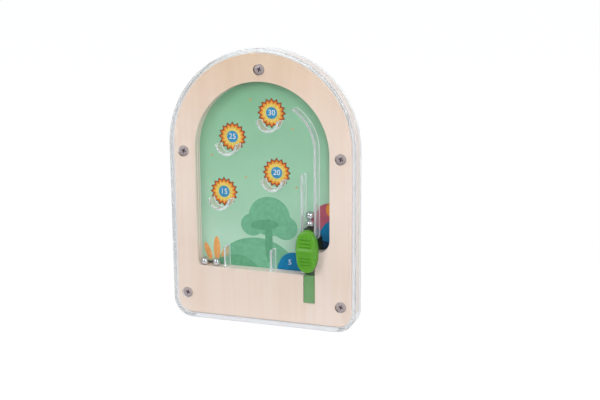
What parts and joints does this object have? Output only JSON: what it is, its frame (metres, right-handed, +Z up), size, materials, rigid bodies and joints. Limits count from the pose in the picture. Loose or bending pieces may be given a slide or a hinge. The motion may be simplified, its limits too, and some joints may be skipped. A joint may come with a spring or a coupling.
{
  "type": "pocket pinball game",
  "caption": "Arched plywood pocket pinball game with a clear moulded cover, cups for the score, steel balls and a sprung plunger with an outside knob.",
  "frame": {"origin": "middle of the flat lower edge on which the toy stands, at mid depth of the case", "axes": "+X to the right seen from the front, +Y from the front to the back, +Z up"},
  "size_m": [0.1112, 0.0183, 0.1578],
  "materials": {
    "clear_plastic": "clear, polished",
    "frame_wood": "fine-sanded birch plywood, clear matt varnish",
    "printed_card": "satin print",
    "back_wood": "sanded plywood",
    "screw_steel": "zinc plated",
    "housing_plastic": "satin",
    "spring_steel": "bright wire",
    "head_plastic": "satin",
    "rod_steel": "bright",
    "knob_plastic": "semi-gloss",
    "ball_steel": "polished"
  },
  "bodies": {
    "case": {"front_cover": "clear_plastic", "wood_frame": "frame_wood", "playfield_card": "printed_card", "back_board": "back_wood", "screw_top": "screw_steel", "screw_left": "screw_steel", "screw_right": "screw_steel", "screw_bottom_left": "screw_steel", "screw_bottom_right": "screw_steel", "spring_housing": "housing_plastic", "plunger_spring": "spring_steel"},
    "plunger": {"plunger_knob": "knob_plastic", "plunger_head": "head_plastic", "guide_rod": "rod_steel", "knob_screw": "screw_steel"},
    "lane_ball_lower": {"lane_ball_lower": "ball_steel"},
    "lane_ball_upper": {"lane_ball_upper": "ball_steel"},
    "pocket_ball_left": {"pocket_ball_left": "ball_steel"},
    "pocket_ball_right": {"pocket_ball_right": "ball_steel"}
  },
  "joints": [
    {"name": "plunger_pull", "type": "slide", "parent": "case", "child": "plunger", "axis": [0, 0, -1], "range_m": [0, 0.016], "stiffness_N_per_m": 80, "springref_m": -0.006, "deforming": ["plunger_spring"]},
    {"name": "lower_ball_launch", "type": "slide", "parent": "plunger", "child": "lane_ball_lower", "axis": [0, 0, 1], "range_m": [0, 0.02]},
    {"name": "upper_ball_launch", "type": "slide", "parent": "lane_ball_lower", "child": "lane_ball_upper", "axis": [0, 0, 1], "range_m": [0, 0.022]},
    {"name": "left_ball_lift", "type": "slide", "parent": "case", "child": "pocket_ball_left", "axis": [0, 0, 1], "range_m": [0, 0.073]},
    {"name": "right_ball_lift", "type": "slide", "parent": "case", "child": "pocket_ball_right", "axis": [0, 0, 1], "range_m": [0, 0.029]}
  ]
}
